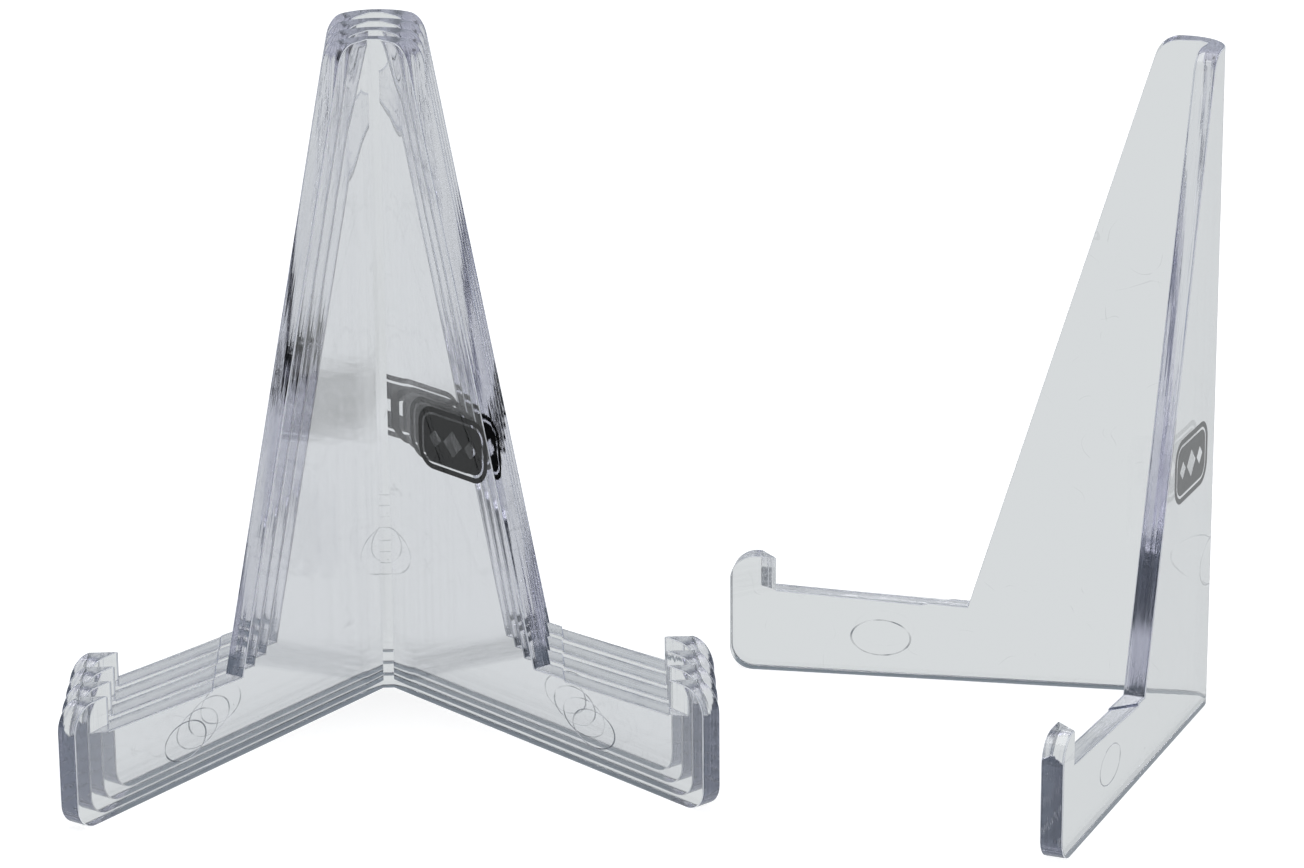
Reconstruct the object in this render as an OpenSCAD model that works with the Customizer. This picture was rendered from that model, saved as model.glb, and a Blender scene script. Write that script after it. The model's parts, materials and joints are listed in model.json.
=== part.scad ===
// Set of five clear moulded knife display stands. Four are nested in one another on
// the left and one stands alone on the right, turned so that its side shows.
// Each stand is one moulding: two tapered wings meet at an upright spine and run
// forward into two low arms with raised lips, and a knife lies across the arms.
// Units are millimetres, +Z is up and the floor is z = 0. The origin is the point
// under the crease of the rearmost nested stand, and the nest opens towards -Y.

/* [Stand] */
// Height of the spine and of the wings' level top
stand_h = 100; // [80:1:140]
// Length of one arm, measured on its inner face from the crease to the end
arm_len = 70; // [60:1:100]
// Thickness of the wings and arms
wall = 3.3; // [2.4:0.1:4.2]
// Angle between the two wings, seen from above
wing_angle = 77; // [64:1:90]

/* [Wings] */
// Width of a wing's level top on the inner face, before its corner is rounded
top_w = 7.1; // [6:0.1:12]
// Radius of the rounded corner at the top of the slope
top_round = 4; // [1:0.5:5]
// Distance from the crease to the foot of the slope
heel_x = 33.9; // [28:0.1:42]
// Height of the arm's top edge under the slope, before the moulded step
heel_h = 11.5; // [9:0.1:14]

/* [Arms and lips] */
// Height of the arm's top edge where it meets the lip
rest_h = 12.9; // [11:0.1:16]
// Height of the lip that keeps the knife on the arms
lip_h = 18.2; // [17:0.1:26]
// Length of the lip along the arm, on the inner face
lip_len = 7.15; // [5:0.05:10]
// Radius of the lip's outer top corner
lip_round = 4; // [1:0.5:4.5]
// Radius of the arm's bottom front corner
toe_round = 3.5; // [1:0.5:4.5]

/* [Spine] */
// Width of the flat strip down the inside of the crease
crease_flat = 1.6; // [0.8:0.1:3]
// Radius of the rounded back of the spine
spine_round = 6.7; // [5:0.1:7.5]

/* [Mould marks] */
// Depth of the round marks left by the ejector pins
mark_depth = 0.15; // [0.05:0.05:0.4]
// Diameter of the ejector pin under each arm's inner face
arm_pin_d = 5.6; // [3:0.1:7]
// Distance of the arm's pin mark from the crease, along the arm
arm_pin_x = 46.9; // [40:0.1:52]
// Height of the arm's pin mark
arm_pin_h = 6.3; // [4.5:0.1:7]
// Diameter of the ejector pin in the crease
spine_pin_d = 7.4; // [4:0.1:9]
// Height of the pin mark in the crease
spine_pin_h = 21.9; // [12:0.1:60]
// Height of the small step that the mould leaves across each arm's top edge
step_h = 0.2; // [0.1:0.05:0.4]
// Distance of that step from the middle of the stand, to either side
step_x = 25.3; // [24.5:0.1:27]

/* [Set] */
// Gap between the faces of two nested stands
nest_gap = 0.4; // [0.3:0.05:1]
// How far each nested stand has settled sideways from the one behind it
nest_drift = 0.2; // [0:0.05:0.3]
// Distance of the single stand to the right of the front nested stand
single_x = 119.8; // [115:0.1:150]
// Distance of the single stand in front of the front nested stand
single_y = 13.4; // [0:0.1:30]
// Angle by which the single stand is turned to the right
single_turn = 65.4; // [50:0.1:75]

/* [Hidden] */
$fn = 96;
// Number of stands in the nest; number 1 is at the front
nest_count = 4;
// Overrun of every cut past the face that it starts from
cut_over = 0.5;
// Angle from the middle plane of the stand to each wing
half_angle = wing_angle / 2;
// Step from one nested stand to the next, along the middle plane
nest_pitch = (wall + nest_gap) / sin(half_angle);
// Distance of the lips' back faces in front of the crease; both lie in one plane
lip_face_y = (arm_len - lip_len) * cos(half_angle);
// Angle of the slope above the level
slope_angle = atan2(stand_h - heel_h, heel_x - top_w);

// Direction of a line at angle a
function ray(a) = [cos(a), sin(a)];

// Point on the slope at height z, as distance from the crease and height
function on_slope(z) = [heel_x - (z - heel_h) / tan(slope_angle), z];

// Point on the arm's top edge at distance x from the crease
function on_rest(x) = [x, heel_h + (x - heel_x) * (rest_h - heel_h) / (arm_len - lip_len - heel_x)];

// Plan of the face that lies a depth d behind the inner face: right arm's end,
// the two sides of the crease and left arm's end
function crease_y(d) = d - crease_flat / 2 / tan(half_angle);
function crease_x(d) = (d / sin(half_angle) - crease_y(d)) * tan(half_angle);
function arm_end(d) = arm_len * ray(half_angle - 90) + d * ray(half_angle);
function face_plan(d) = [
    arm_end(d),
    [crease_x(d), crease_y(d)],
    [-crease_x(d), crease_y(d)],
    [-arm_end(d).x, arm_end(d).y]
];

// What a round of radius r takes off the corner p, whose edges leave it at angles a and b
module corner_waste(p, a, b, r) {
    half = abs(a - b) / 2;
    mid = (a + b) / 2;
    centre = p + r / sin(half) * ray(mid);
    difference() {
        polygon([
            p + r / tan(half) * ray(a),
            p - cut_over * ray(mid),
            p + r / tan(half) * ray(b),
            centre
        ]);
        translate(centre) circle(r = r);
    }
}

// The V seen from above, with the back of the spine rounded
module stand_plan() {
    difference() {
        polygon(concat(
            face_plan(0),
            [[-arm_end(wall).x, arm_end(wall).y], [0, wall / sin(half_angle)], arm_end(wall)]
        ));
        corner_waste([0, wall / sin(half_angle)], half_angle - 90, -half_angle - 90, spine_round);
    }
}

// Carries a side view, x along the arm and y up, through both wings
module through_wings() {
    for (side = [0, 1]) {
        mirror([side, 0, 0])
            rotate([0, 0, half_angle - 90])
                rotate([90, 0, 0])
                    translate([0, 0, -wall - cut_over])
                        linear_extrude(wall + 2 * cut_over)
                            children();
    }
}

// All that is in front of the slope and above the arm's top edge
module above_arm() {
    polygon([
        on_rest(heel_x),
        on_slope(stand_h + cut_over),
        [arm_len + cut_over, stand_h + cut_over],
        on_rest(arm_len + cut_over)
    ]);
}

// Strip under the slope that the mould's step leaves standing on the arm
module step_strip() {
    polygon([
        on_rest(heel_x - cut_over) - [0, cut_over],
        on_rest(heel_x - cut_over) + [0, step_h],
        on_rest(arm_len) + [0, step_h],
        on_rest(arm_len) - [0, cut_over]
    ]);
}

// Rounds of the wing's top, the lip and the toe
module side_rounds() {
    corner_waste([top_w, stand_h], -slope_angle, -180, top_round);
    corner_waste([arm_len, lip_h], -90, -180, lip_round);
    corner_waste([arm_len, 0], 90, 180, toe_round);
}

// The open space between the slopes and the lips, above both arms
module cradle_cut() {
    difference() {
        through_wings() above_arm();
        // the lips stand in front of one plane across both arms
        translate([-arm_len, -lip_face_y - arm_len, -cut_over])
            cube([2 * arm_len, arm_len, lip_h + cut_over]);
        intersection() {
            through_wings() step_strip();
            translate([-step_x, -arm_len, 0])
                cube([2 * step_x, arm_len + wall, stand_h]);
        }
    }
}

// One ejector pin, drawn out of the mould towards the front
module pin(x, h, d) {
    translate([x, 0, h])
        rotate([90, 0, 0])
            cylinder(d = d, h = 2 * arm_len, center = true);
}

// Shallow round marks that the pins leave on the inner faces
module pin_marks() {
    difference() {
        union() {
            pin(0, spine_pin_h, spine_pin_d);
            pin(arm_pin_x * sin(half_angle), arm_pin_h, arm_pin_d);
            pin(-arm_pin_x * sin(half_angle), arm_pin_h, arm_pin_d);
        }
        translate([0, 0, -cut_over])
            linear_extrude(stand_h)
                polygon(concat(
                    face_plan(mark_depth),
                    [[-2 * arm_len, arm_end(0).y], [-2 * arm_len, 2 * arm_len]],
                    [[2 * arm_len, 2 * arm_len], [2 * arm_len, arm_end(0).y]]
                ));
    }
}

// One complete stand, its crease at the origin and its open side towards -Y
module stand() {
    difference() {
        linear_extrude(stand_h) stand_plan();
        cradle_cut();
        through_wings() side_rounds();
        pin_marks();
    }
}

// Nested stand number n, counted from the front
module nested_stand(n) {
    back = nest_count - n;
    color([0.84, 0.86, 0.88, 0.5])
        translate([-back * nest_drift, -back * nest_pitch, 0])
            stand();
}

// The stand that is out of the nest
module single_stand() {
    front = nest_count - 1;
    color([0.84, 0.86, 0.88, 0.5])
        translate([single_x - front * nest_drift, -single_y - front * nest_pitch, 0])
            rotate([0, 0, -single_turn])
                stand();
}

nested_stand(1);  // nested_stand_1
nested_stand(2);  // nested_stand_2
nested_stand(3);  // nested_stand_3
nested_stand(4);  // nested_stand_4
single_stand();
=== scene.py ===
import json
import math

import bmesh
import bpy
from mathutils import Matrix, Vector


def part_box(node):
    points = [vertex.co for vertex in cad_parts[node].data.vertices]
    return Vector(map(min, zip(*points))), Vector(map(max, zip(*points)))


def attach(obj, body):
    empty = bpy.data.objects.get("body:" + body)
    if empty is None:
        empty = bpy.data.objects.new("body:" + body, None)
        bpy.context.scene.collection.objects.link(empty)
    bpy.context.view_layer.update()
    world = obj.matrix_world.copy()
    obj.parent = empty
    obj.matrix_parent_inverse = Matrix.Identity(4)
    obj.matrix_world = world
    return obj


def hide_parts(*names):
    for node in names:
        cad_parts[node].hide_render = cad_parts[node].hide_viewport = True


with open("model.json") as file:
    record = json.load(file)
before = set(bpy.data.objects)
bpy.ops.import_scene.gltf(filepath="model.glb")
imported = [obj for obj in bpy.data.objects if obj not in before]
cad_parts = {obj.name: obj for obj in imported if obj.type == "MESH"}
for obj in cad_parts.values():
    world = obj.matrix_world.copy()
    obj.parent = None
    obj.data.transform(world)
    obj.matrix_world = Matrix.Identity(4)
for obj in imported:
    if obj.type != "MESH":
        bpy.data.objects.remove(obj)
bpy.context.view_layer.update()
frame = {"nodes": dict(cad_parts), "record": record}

# Camera
# It stands on the nest's middle line, 0.7 m in front and a quarter of a metre up,
# and looks down through a long lens, a little to the right of the nest.
mm = 0.001
lens_place = Vector((-0.6, -692.0, 253.55)) * mm
lens_length = 131.38
sensor_width = 36.0
heading = math.radians(3.40)
look_down = math.radians(17.64)
camera_roll = math.radians(-0.44)

camera_data = bpy.data.cameras.new("camera")
camera_data.sensor_fit = "HORIZONTAL"
camera_data.sensor_width = sensor_width
camera_data.lens = lens_length
camera = bpy.data.objects.new("camera", camera_data)
camera.matrix_world = (
    Matrix.Translation(lens_place)
    @ Matrix.Rotation(-heading, 4, "Z")
    @ Matrix.Rotation(math.pi / 2 - look_down, 4, "X")
    @ Matrix.Rotation(camera_roll, 4, "Z")
)
bpy.context.collection.objects.link(camera)
bpy.context.scene.camera = camera

# Stands
# Five one-piece mouldings in clear polystyrene: two wings meet at an upright spine
# and run forward into low arms with raised lips. They stand loose on the floor.
wall = 3.3 * mm
stand_h = 100 * mm
half_angle = math.radians(38.5)
arm_len = 70 * mm
lip_start = 62.85 * mm
lip_h = 18.2 * mm
lip_round = 4 * mm
toe_round = 3.5 * mm
heel = Vector((33.9, 11.5)) * mm
rest_rise = 0.0484
shoulder = Vector((7.1, 100)) * mm
shoulder_round = 3.8 * mm
step_h = 0.35 * mm
step_run = 0.06 * mm
step_x = 25.3 * mm
spine_round = 6.7 * mm
crease_flat = 1.6 * mm
edge_round = 0.15 * mm
corner_facets = 10
lip_facets = 12
spine_facets = 28
edge_facets = 3
weld = 0.01 * mm
still_flat = math.radians(0.2)
sharp_edge = math.radians(60)
soft_edge = math.radians(35)

along = Vector((math.sin(half_angle), -math.cos(half_angle), 0))
across = Vector((math.cos(half_angle), math.sin(half_angle), 0))
crease_start = crease_flat / 2 / math.sin(half_angle)
crease_back = crease_flat / 2 / math.tan(half_angle)
spine_corner = wall / math.sin(half_angle)
spine_start = (spine_round - wall) / math.tan(half_angle)
spine_centre = Vector((0, spine_corner - spine_round / math.sin(half_angle), 0))


def rounded(corner, before, after, radius, facets):
    """Points of the arc that rounds a corner of a side outline."""
    back = (before - corner).normalized()
    on = (after - corner).normalized()
    half = back.angle(on) / 2
    centre = corner + (back + on).normalized() * radius / math.sin(half)
    first = corner + back * radius / math.tan(half) - centre
    turn = math.copysign(math.pi - 2 * half, on.cross(back)) / facets
    return [centre + Matrix.Rotation(turn * i, 2) @ first for i in range(facets + 1)]


def on_rest(distance):
    """Point on the arm's top edge at a distance along the wing."""
    return Vector((distance, heel.y + (distance - heel.x) * rest_rise))


def side_outline(depth):
    """Outline of the wing, distance by height, at a depth behind its inner face."""
    lip_back = lip_start + depth * math.tan(half_angle)
    step = (step_x - depth * math.cos(half_angle)) / math.sin(half_angle)
    start = crease_start + (spine_start - crease_start) * depth / wall
    raised = Vector((0, step_h))
    slope = (shoulder - heel) / (shoulder.y - heel.y)
    toe = Vector((arm_len, 0))
    tip = Vector((arm_len, lip_h))
    lip_top = Vector((lip_back, lip_h))
    foot = Vector((start, 0))
    top = Vector((start, stand_h))
    return [
        foot,
        *rounded(toe, foot, tip, toe_round, corner_facets),
        *rounded(tip, toe, lip_top, lip_round, lip_facets),
        lip_top,
        on_rest(lip_back),
        on_rest(step + step_run),
        on_rest(step) + raised,
        heel + slope * step_h,
        *rounded(shoulder, heel, top, shoulder_round, corner_facets),
        top,
    ]


def wing_loop(mesh, depth):
    """The wing's outline as an open chain of vertices and edges at one depth."""
    verts = [
        mesh.verts.new(along * point.x + across * depth + Vector((0, 0, point.y)))
        for point in side_outline(depth)
    ]
    return verts, [mesh.edges.new(pair) for pair in zip(verts, verts[1:])]


def stand_mesh():
    """One stand, its crease at the origin and its open side towards -Y."""
    mesh = bmesh.new()
    inner, inner_edges = wing_loop(mesh, 0)
    outer, outer_edges = wing_loop(mesh, wall)
    bmesh.ops.bridge_loops(mesh, edges=inner_edges + outer_edges)
    mesh.faces.new(inner)
    mesh.faces.new(outer)
    crease_edge = mesh.edges.get((inner[0], inner[-1]))
    spine_edge = mesh.edges.get((outer[0], outer[-1]))
    wing = mesh.verts[:] + mesh.edges[:] + mesh.faces[:]
    bmesh.ops.mirror(mesh, geom=wing, axis="X", merge_dist=0)
    open_left = [
        edge
        for edge in mesh.edges
        if edge.is_boundary
        and edge.verts[0].co.x < 0
        and edge.calc_length() > stand_h - edge_round
    ]
    left_crease = max(open_left, key=lambda edge: edge.verts[0].co.x)
    bmesh.ops.bridge_loops(mesh, edges=[crease_edge, left_crease])
    bmesh.ops.spin(
        mesh,
        geom=[spine_edge, *spine_edge.verts],
        cent=spine_centre,
        axis=(0, 0, 1),
        angle=math.pi - 2 * half_angle,
        steps=spine_facets,
    )
    bmesh.ops.remove_doubles(mesh, verts=mesh.verts, dist=weld)
    bmesh.ops.holes_fill(mesh, edges=[edge for edge in mesh.edges if edge.is_boundary])
    bmesh.ops.recalc_face_normals(mesh, faces=mesh.faces)
    bmesh.ops.dissolve_limit(
        mesh, angle_limit=still_flat, verts=mesh.verts, edges=mesh.edges
    )
    bmesh.ops.bevel(
        mesh,
        geom=[edge for edge in mesh.edges if edge.calc_face_angle(0) > sharp_edge],
        affect="EDGES",
        offset=edge_round,
        offset_type="OFFSET",
        segments=edge_facets,
        profile=0.5,
        material=-1,
        clamp_overlap=True,
    )
    return mesh


# Thin rings that the ejector pins left on the inner faces: how far each is to the side,
# its height and radius, and how dark the painted shade in it is.
pin_marks = (
    (0, 21.9 * mm, 3.7 * mm, 0.5),
    (29.2 * mm, 6.3 * mm, 2.8 * mm, 1.0),
    (-29.2 * mm, 6.3 * mm, 2.8 * mm, 1.0),
)
mark_line = 0.09 * mm
mark_sides = 8
mark_facets = 72


def add_piece(name, mesh):
    """Scene object made of a bmesh, with its place left in the mesh."""
    data = bpy.data.meshes.new(name)
    mesh.to_mesh(data)
    mesh.free()
    piece = bpy.data.objects.new(name, data)
    bpy.context.collection.objects.link(piece)
    return piece


def cut_out(piece, cutter):
    """Cuts a cutter out of a piece, and drops the cutter."""
    modifier = piece.modifiers.new("cut", "BOOLEAN")
    modifier.object = cutter
    modifier.operation = "DIFFERENCE"
    modifier.solver = "EXACT"
    cut = piece.evaluated_get(bpy.context.evaluated_depsgraph_get())
    piece.data = bpy.data.meshes.new_from_object(cut)
    piece.modifiers.clear()
    bpy.data.objects.remove(cutter)


def mark_cutter():
    """Thin rings that lie in the inner faces, also where these meet in the crease."""
    mesh = bmesh.new()
    for x, height, radius, _ in pin_marks:
        middle = Vector((x, 0, height))
        ring = bmesh.ops.create_circle(
            mesh,
            segments=mark_sides,
            radius=mark_line,
            matrix=Matrix.Translation(middle + Vector((radius, 0, 0))),
        )["verts"]
        sides = dict.fromkeys(edge for vert in ring for edge in vert.link_edges)
        bmesh.ops.spin(
            mesh,
            geom=[*ring, *sides],
            cent=middle,
            axis=(0, 1, 0),
            angle=math.tau,
            steps=mark_facets,
            use_merge=True,
        )
    for vert in mesh.verts:
        vert.co.y -= max(abs(vert.co.x), crease_flat / 2) / math.tan(half_angle)
    bmesh.ops.recalc_face_normals(mesh, faces=mesh.faces)
    return mesh


master = add_piece("master_stand", stand_mesh())
cut_out(master, add_piece("pin_marks", mark_cutter()))
moulded_at = master.data.attributes.new("moulded_at", "FLOAT_VECTOR", "POINT")
own_points = [part for vert in master.data.vertices for part in vert.co]
moulded_at.data.foreach_set("vector", own_points)


class Value:
    """A shader socket: an expression on it adds Math nodes to its tree."""

    def __init__(self, socket):
        self.socket = socket

    def math(self, operation, *terms):
        """Adds a Math node that works on the terms, values or numbers."""
        node = self.socket.id_data.nodes.new("ShaderNodeMath")
        node.operation = operation
        for slot, term in zip(node.inputs, terms):
            if isinstance(term, Value):
                node.id_data.links.new(term.socket, slot)
            else:
                slot.default_value = term
        return Value(node.outputs[0])

    def __add__(self, other):
        return self.math("ADD", self, other)

    def __radd__(self, other):
        return self.math("ADD", other, self)

    def __sub__(self, other):
        return self.math("SUBTRACT", self, other)

    def __rsub__(self, other):
        return self.math("SUBTRACT", other, self)

    def __mul__(self, other):
        return self.math("MULTIPLY", self, other)

    def __rmul__(self, other):
        return self.math("MULTIPLY", other, self)

    def __neg__(self):
        return self.math("MULTIPLY", self, -1.0)

    def __abs__(self):
        return self.math("ABSOLUTE", self)

    def __lt__(self, other):
        return self.math("LESS_THAN", self, other)

    def __gt__(self, other):
        return self.math("GREATER_THAN", self, other)

    def at_least(self, other):
        """The larger of the two values."""
        return self.math("MAXIMUM", self, other)

    def root(self):
        """The square root of the value."""
        return self.math("SQRT", self)

    def near(self, middle, reach):
        """1 where the value is within reach of the middle, else 0."""
        return self.math("COMPARE", self, middle, reach)


class Nodes:
    """The node tree of a material or of the world."""

    def __init__(self, owner):
        owner.use_nodes = True
        self.tree = owner.node_tree
        self.tree.nodes.clear()

    def add(self, kind, settings, sockets):
        """Adds a node and gives its outputs; sockets go by their label or number."""
        node = self.tree.nodes.new("ShaderNode" + kind)
        for setting, choice in settings.items():
            setattr(node, setting, choice)
        for label, term in sockets.items():
            if isinstance(term, Value):
                self.tree.links.new(term.socket, node.inputs[label])
            else:
                node.inputs[label].default_value = term
        outputs = {output.name: Value(output) for output in node.outputs}
        return outputs | {i: Value(output) for i, output in enumerate(node.outputs)}

    def place(self):
        """The point on the whole object, in metres."""
        return self.add("TexCoord", {}, {})["Object"]

    def noise(self, vector, scale, detail=2.0, roughness=0.5):
        """Noise about a half; the scale is in waves per metre."""
        sockets = {
            "Vector": vector,
            "Scale": scale,
            "Detail": detail,
            "Roughness": roughness,
        }
        return self.add("TexNoise", {}, sockets)["Fac"]

    def distance(self, vector, point):
        """How far the vector is from a point."""
        ends = {0: vector, 1: point}
        return self.add("VectorMath", {"operation": "DISTANCE"}, ends)["Value"]

    def rise(self, value, start, end, most=1.0, shape="LINEAR"):
        """0 below the start, and the most above the end."""
        sockets = {"Value": value, "From Min": start, "From Max": end, "To Max": most}
        return self.add("MapRange", {"interpolation_type": shape}, sockets)["Result"]

    def mix(self, share, first, second):
        """A colour between two, by the share of the second."""
        sockets = {0: share, 6: first, 7: second}
        return self.add("Mix", {"data_type": "RGBA"}, sockets)[2]


# Polished clear polystyrene. Its faint violet tint shows only along the wall. The edge
# faces carry soft waves from the mould and fine darker lines along the wall. Their edges
# are white, a painted highlight that is partly rubbed wear, between darker border lines
# of painted shade. The level top is frosted, and there are specks, hairline scratches
# and light scuffs. Painted shade darkens the pin-mark rings and the line of the mould
# step.
plastic_ior = 1.50
tint = (0.30, 0.29, 0.57, 1)
tint_density = 5.0
clean = (1, 1, 1, 1)
# dark specks and scratches, and the painted shade in the pin-mark rings
dirt_and_shade_tone = (0.10, 0.11, 0.13, 1)
line_tone = (0.25, 0.28, 0.40, 1)
# white of the edges: a painted highlight, partly also rubbed wear
highlight_and_wear_white = (0.85, 0.87, 0.90, 1)
edge_roughness = 0.6
top_roughness = 0.2
scuff_roughness = 0.08
middle_noise = 0.5

clear_plastic = bpy.data.materials.new("clear_plastic")
nodes = Nodes(clear_plastic)
place = nodes.place()
own_place = nodes.add("Attribute", {"attribute_name": "moulded_at"}, {})["Vector"]
own = nodes.add("SeparateXYZ", {}, {"Vector": own_place})
aside = abs(own["X"])
depth = aside * math.cos(half_angle) + own["Y"] * math.sin(half_angle)
from_crease = aside * math.sin(half_angle) - own["Y"] * math.cos(half_angle)

# lines and waves run along the wall, 50 times as long as they are wide
drawn_out = 0.02
line_scale = 2600.0
wave_scale = 900.0
line_limits = (0.57, 0.66)
line_share = 0.4
line_relief = 0.2
step_line = 0.1 * mm
wave_depth = 1 * mm
wave_strength = 0.12
along_wall = nodes.add(
    "CombineXYZ", {}, {"X": depth, "Y": own["X"] * drawn_out, "Z": own["Z"] * drawn_out}
)["Vector"]
lines = nodes.noise(along_wall, line_scale, detail=3.0, roughness=0.7)
waves = nodes.noise(along_wall, wave_scale)
off_middle = abs(depth - wall / 2)
between = off_middle < wall / 2 - edge_round / 2
off_spine = aside > spine_round
drawn = nodes.rise(lines, *line_limits, line_share)
# a darker line at the mould step is painted shade
at_step = aside.near(step_x, step_line) * (own["Z"] > heel.y)
relief = (waves - middle_noise + (lines - middle_noise) * line_relief) * off_spine
bump = nodes.add(
    "Bump", {}, {"Strength": wave_strength, "Distance": wave_depth, "Height": relief}
)["Normal"]

# distances behind the inner and the outer faces, also at the crease and round the spine
seen_above = nodes.add("CombineXYZ", {}, {"X": own["X"], "Y": own["Y"]})["Vector"]
from_axis = nodes.distance(seen_above, spine_centre)
at_spine = from_crease < spine_start
from_flat = own["Y"] + crease_back
behind_inner = depth.at_least(from_flat)
behind_outer = wall - depth + at_spine * (depth - from_axis + (spine_round - wall))


def beside_edges(start, end):
    """1 where a face is between these distances from either flat face of the wall."""
    near = ((start + end) / 2, (end - start) / 2)
    return behind_inner.near(*near) + behind_outer.near(*near)


# darker lines beside the rounded edges are painted shade
border_line = 0.09 * mm
border_share = 0.6
border = beside_edges(edge_round, edge_round + 2 * border_line)

# specks, scratches and scuffs, the white edges (painted highlight and wear) and the
# painted shade in the pin marks, in patches
patch_scale = 220.0
speck_and_shade_limits = (0.42, 0.60)
speck_scale = 110.0
speck_reach = 0.018
speck_share = 0.5
scratch_scale = 60.0
scratch_reach = 0.0012
scratch_limits = (0.58, 0.66)
scratch_share = 0.2
scuff_scale = 900.0
scuff_limits = (0.64, 0.75)
least_edge_white = 0.35
added_edge_white = 0.8
patches = nodes.noise(place, patch_scale)
speck_and_shade_patches = nodes.rise(patches, *speck_and_shade_limits)
from_front = nodes.add("CombineXYZ", {}, {"X": own["X"], "Z": own["Z"]})["Vector"]
marked = 0.0
unmarked = 1.0
for x, height, radius, ring_shade in pin_marks:
    in_ring = nodes.distance(from_front, (x, 0, height)).near(radius, mark_line)
    marked = marked + ring_shade * in_ring
    unmarked = unmarked - in_ring
# painted shade darkens the pin-mark rings on the inner faces, in patches
shade_in_marks = marked * (depth < wall / 4) * speck_and_shade_patches
cells = nodes.add("TexVoronoi", {}, {"Vector": place, "Scale": speck_scale})
specks = (cells["Distance"] < speck_reach) * speck_and_shade_patches * speck_share
rubbed = nodes.rise(patches, *scratch_limits, scratch_share)
wander = nodes.noise(place, scratch_scale)
scratches = wander.near(middle_noise, scratch_reach) * rubbed
scuffing = nodes.noise(place, scuff_scale, detail=4.0, roughness=0.7)
scuffs = nodes.rise(scuffing, *scuff_limits, scuff_roughness)
on_top = own["Z"] > stand_h - edge_round / 2

lined = nodes.mix(
    between * off_spine * (drawn + at_step) + border * border_share, clean, line_tone
)
plastic = nodes.add(
    "BsdfPrincipled",
    {},
    {
        "Base Color": nodes.mix(shade_in_marks + specks + scratches, lined, dirt_and_shade_tone),
        "Transmission Weight": 1.0,
        "IOR": plastic_ior,
        "Roughness": scuffs + on_top * top_roughness,
        "Normal": bump,
    },
)["BSDF"]
# The edges are mixed towards white: a painted highlight on the rounded edges, partly
# also rubbed wear.
highlight_and_wear_shader = nodes.add(
    "BsdfPrincipled", {}, {"Base Color": highlight_and_wear_white, "Roughness": edge_roughness}
)["BSDF"]
edge_highlight_and_wear = beside_edges(edge_round / 10, edge_round) * unmarked * (
    least_edge_white + patches * added_edge_white
)
plastic_with_white_edges = nodes.add("MixShader", {}, {0: edge_highlight_and_wear, 1: plastic, 2: highlight_and_wear_shader})
inside = nodes.add("VolumeAbsorption", {}, {"Color": tint, "Density": tint_density})
nodes.add(
    "OutputMaterial", {}, {"Surface": plastic_with_white_edges["Shader"], "Volume": inside["Volume"]}
)

mounts = {mount["name"]: Vector(mount["pos_m"]) for mount in frame["record"]["mounts"]}


def place_of(node):
    """Turn and place of a stand, read from the frame."""
    if node == "single_stand":
        crease = mounts["single_floor_rest"]
        ahead = (mounts["knife_rest_left"] + mounts["knife_rest_right"]) / 2 - crease
        turn = Matrix.Rotation(math.atan2(ahead.x, -ahead.y), 4, "Z")
        return Matrix.Translation(crease) @ turn
    low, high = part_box(node)
    spine_back = spine_centre.y + spine_round
    return Matrix.Translation(((low[0] + high[0]) / 2, high[1] - spine_back, 0))


stands = list(frame["nodes"])
for node in stands:
    stand = bpy.data.objects.new(node + "_clear", master.data.copy())
    bpy.context.collection.objects.link(stand)
    stand.data.transform(place_of(node))
    stand.data.shade_smooth()
    stand.data.set_sharp_from_angle(angle=soft_edge)
    flat = stand.modifiers.new("even_shading", "WEIGHTED_NORMAL")
    flat.keep_sharp = True
    flat.weight = 100
    stand.data.materials.clear()
    stand.data.materials.append(clear_plastic)
    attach(stand, node)
    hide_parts(node)
bpy.data.objects.remove(master)

# Printed badges
# A dark ink panel with light figures left open in it, printed on the outside of each
# stand's right wing. It is sunk into the surface as ink is.
badge_w = 15.6 * mm
badge_h = 9.6 * mm
badge_at = Vector((14.4, 41.2)) * mm
badge_corner = 3.2 * mm
badge_facets = 10
frame_w = 0.8 * mm
line_w = 0.4 * mm
ink_depth = 0.02 * mm
diamonds = ((-4.0 * mm, 1.4 * mm), (0, 2.1 * mm), (4.0 * mm, 1.4 * mm))
cutter_depth = 1 * mm
grain_scale = 2500.0


def badge_mesh():
    """The ink panel, flat, with a line left open inside its edge; its diamonds are cut
    later.
    """
    mesh = bmesh.new()
    bmesh.ops.create_grid(mesh, x_segments=1, y_segments=1, size=0.5)
    bmesh.ops.scale(mesh, vec=(badge_w, badge_h, 1), verts=mesh.verts)
    bmesh.ops.bevel(
        mesh,
        geom=mesh.verts[:],
        affect="VERTICES",
        offset=badge_corner,
        offset_type="OFFSET",
        segments=badge_facets,
        profile=0.5,
        material=-1,
    )
    panel = mesh.faces[:]
    for width in (frame_w, line_w):
        line = bmesh.ops.inset_region(
            mesh, faces=panel, thickness=width, use_boundary=True, use_even_offset=True
        )["faces"]
    bmesh.ops.delete(mesh, geom=line, context="FACES")
    grown = bmesh.ops.extrude_face_region(mesh, geom=mesh.faces[:])["geom"]
    bmesh.ops.translate(
        mesh,
        vec=(0, 0, 2 * ink_depth),
        verts=[item for item in grown if isinstance(item, bmesh.types.BMVert)],
    )
    bmesh.ops.recalc_face_normals(mesh, faces=mesh.faces)
    return mesh


def diamond_cutters():
    """Prisms for the open diamonds."""
    mesh = bmesh.new()
    for x, size in diamonds:
        bmesh.ops.create_cone(
            mesh,
            cap_ends=True,
            segments=4,
            radius1=size,
            radius2=size,
            depth=cutter_depth,
            matrix=Matrix.Translation((x, 0, 0)),
        )
    return mesh


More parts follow.
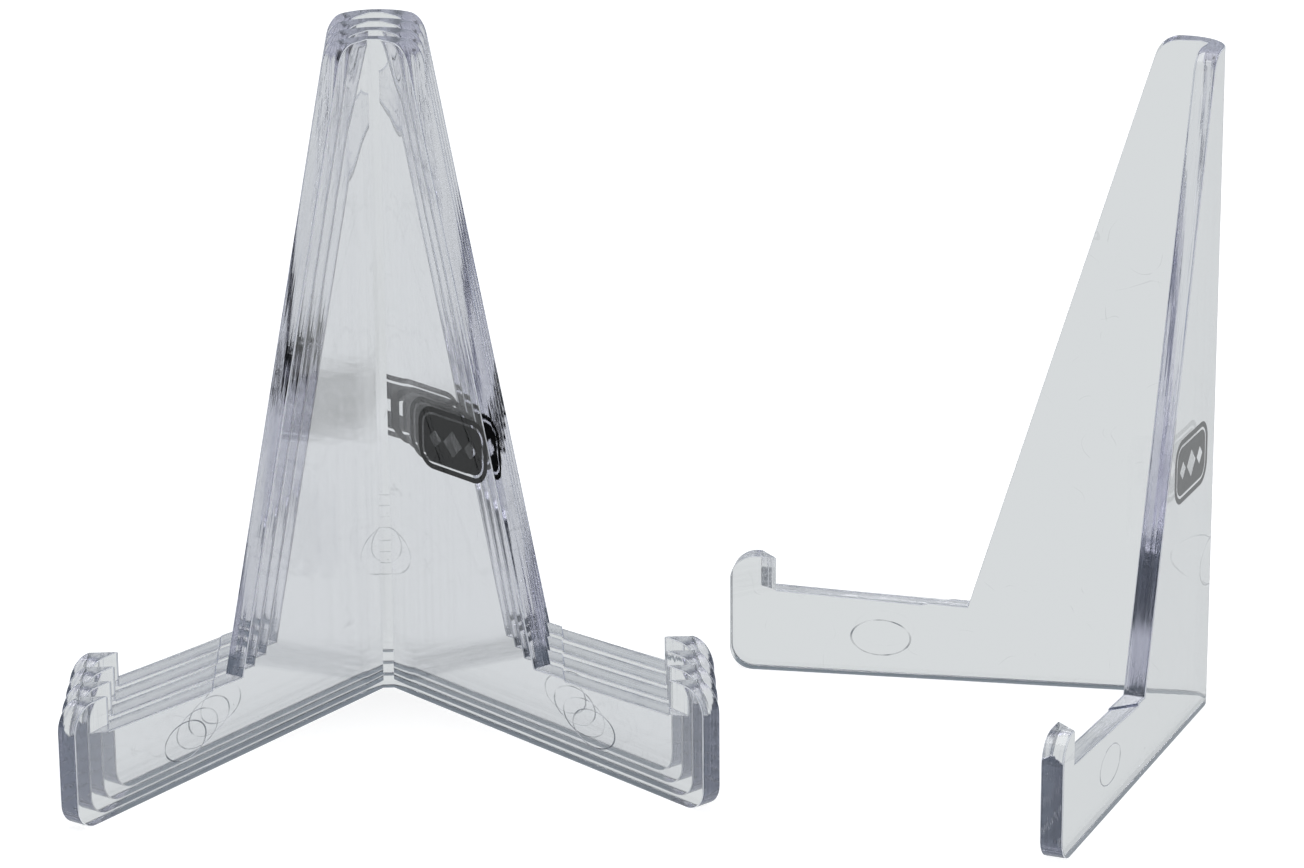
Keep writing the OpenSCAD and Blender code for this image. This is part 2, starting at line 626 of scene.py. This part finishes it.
def ink(name, thin, thick, gloss):
    """Ink that lies a little unevenly; the gloss names sockets of its shader."""
    material = bpy.data.materials.new(name)
    nodes = Nodes(material)
    grain = nodes.noise(nodes.place(), grain_scale, detail=3.0)
    colour = nodes.mix(grain, thin, thick)
    surface = nodes.add("BsdfPrincipled", {}, {"Base Color": colour, **gloss})["BSDF"]
    nodes.add("OutputMaterial", {}, {"Surface": surface})
    return material


ink_outside = ink(
    "ink_outside",
    thin=(0.26, 0.26, 0.26, 1),
    thick=(0.14, 0.14, 0.14, 1),
    gloss={"Roughness": 0.35, "Metallic": 0.3},
)
ink_inside = ink(
    "ink_inside",
    thin=(0.008, 0.007, 0.006, 1),
    thick=(0.001, 0.001, 0.001, 1),
    gloss={"Roughness": 0.5, "Specular IOR Level": 0.0},
)
badge = add_piece("master_badge", badge_mesh())
cut_out(badge, add_piece("diamonds", diamond_cutters()))
on_wing = Matrix.Translation(
    along * badge_at.x + across * (wall - ink_depth) + Vector((0, 0, badge_at.y))
)
turn_to_wing = Matrix((-along, (0, 0, 1), across)).transposed().to_4x4()
for node in stands:
    film = bpy.data.objects.new(node + "_badge", badge.data.copy())
    bpy.context.collection.objects.link(film)
    film.data.transform(place_of(node) @ on_wing @ turn_to_wing)
    outwards = place_of(node).to_3x3() @ across
    film.data.materials.clear()
    film.data.materials.append(ink_inside)
    film.data.materials.append(ink_outside)
    for face in film.data.polygons:
        is_outside = face.normal.dot(outwards) > 0.5
        face.material_index = int(is_outside)
    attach(film, node)
bpy.data.objects.remove(badge)

# Floor and surroundings
# A plain white sheet under a plain room. Seen through the plastic the sheet is a pale
# grey and the room above it a middle grey, as in the photograph.
floor_size = 6.0
floor_drop = 0.05 * mm
white = (1, 1, 1, 1)
sheet_lit = (0.5, 0.5, 0.5, 1)
sheet_roughness = 0.9
sheet_glow = 0.8
sheet_through = (0.685, 0.71, 0.718, 1)
sheet_mirrored = (0.58, 0.60, 0.61, 1)

floor_mesh = bmesh.new()
bmesh.ops.create_grid(floor_mesh, x_segments=1, y_segments=1, size=floor_size / 2)
bmesh.ops.translate(floor_mesh, vec=(0, 0, -floor_drop), verts=floor_mesh.verts)
floor = add_piece("floor", floor_mesh)
sheet = bpy.data.materials.new("floor_sheet")
nodes = Nodes(sheet)
ray = nodes.add("LightPath", {}, {})
lit = nodes.add(
    "BsdfPrincipled", {}, {"Base Color": sheet_lit, "Roughness": sheet_roughness}
)["BSDF"]
glow = nodes.add("Emission", {}, {"Color": white, "Strength": sheet_glow})["Emission"]
seen = nodes.add("AddShader", {}, {0: lit, 1: glow})["Shader"]
through = nodes.add("Emission", {}, {"Color": sheet_through})["Emission"]
mirrored = nodes.add("Emission", {}, {"Color": sheet_mirrored})["Emission"]
# a ray that goes through the plastic counts as a mirrored one too, so it comes last
for kind, tone in (("Is Glossy Ray", mirrored), ("Is Transmission Ray", through)):
    seen = nodes.add("MixShader", {}, {0: ray[kind], 1: seen, 2: tone})["Shader"]
nodes.add("OutputMaterial", {}, {"Surface": seen})
floor.data.materials.append(sheet)

# The room's brightness: one value high up, and on each side one low down and one
# halfway up. Its dark parts are a little bluer than its bright ones.
room_high = 0.88
room_back = (0.26, 0.18)
room_left = (0.10, 0.05)
room_right = (0.06, 0.28)
room_front = (0.50, 0.04)
room_dark = (0.84, 1.0, 1.15, 1)
room_bright = (0.98, 1.0, 1.03, 1)
bright_limits = (0.1, 0.8)
halfway_up = (0.28, 0.42)
high_up = (0.68, 0.82)
side_corner = 0.7
side_blur = 0.1

world = bpy.data.worlds.new("studio")
bpy.context.scene.world = world
nodes = Nodes(world)
ray = nodes.add("LightPath", {}, {})
direction = nodes.add("TexCoord", {}, {})["Generated"]
towards = nodes.add("SeparateXYZ", {}, {"Vector": direction})


def fade(value, start, end):
    """0 below the start and 1 above the end, with a soft change between."""
    return nodes.rise(value, start, end, shape="SMOOTHSTEP")


above_low = fade(towards["Z"], *halfway_up)
above_mid = fade(towards["Z"], *high_up)
span = (1.0 - towards["Z"] * towards["Z"]).root()


def tone_between(low, mid):
    """A side's tone, from what is low down to what is halfway up."""
    return low * (1.0 - above_low) + mid * (above_low - above_mid)


brightness = room_high * above_mid + tone_between(*room_back)
for way, tones in (
    (-towards["X"], room_left),
    (towards["X"], room_right),
    (-towards["Y"], room_front),
):
    on_side = fade(way - side_corner * span, -side_blur, side_blur)
    change = [tone - back for tone, back in zip(tones, room_back)]
    brightness = brightness + on_side * tone_between(*change)
room_tone = nodes.mix(fade(brightness, *bright_limits), room_dark, room_bright)
room = nodes.add("Background", {}, {"Color": room_tone, "Strength": brightness})
seen = nodes.add("Background", {}, {"Color": white})
surroundings = nodes.add(
    "MixShader",
    {},
    {0: ray["Is Camera Ray"], 1: room["Background"], 2: seen["Background"]},
)
nodes.add("OutputWorld", {}, {"Surface": surroundings["Shader"]})

# Lights
# The room gives most of the light. One soft box, above and a little behind the stands,
# draws the highlights on their rounded edges.
box_place = Vector((0.0, 0.1, 1.0))
box_target = Vector((0.05, -0.03, 0.05))
box_width = 0.9
box_depth = 0.6
box_power = 4.0

box_light = bpy.data.lights.new("top_box", "AREA")
box_light.shape = "RECTANGLE"
box_light.size = box_width
box_light.size_y = box_depth
box_light.energy = box_power
top_box = bpy.data.objects.new("top_box", box_light)
aim = (box_target - box_place).to_track_quat("-Z", "Y")
top_box.matrix_world = Matrix.Translation(box_place) @ aim.to_matrix().to_4x4()
bpy.context.collection.objects.link(top_box)

# Light passes through up to five stands, so a ray may turn many times.
most_turns = 48
scene = bpy.context.scene
scene.view_settings.view_transform = "Standard"
scene.cycles.max_bounces = most_turns
scene.cycles.transmission_bounces = most_turns
scene.cycles.glossy_bounces = most_turns
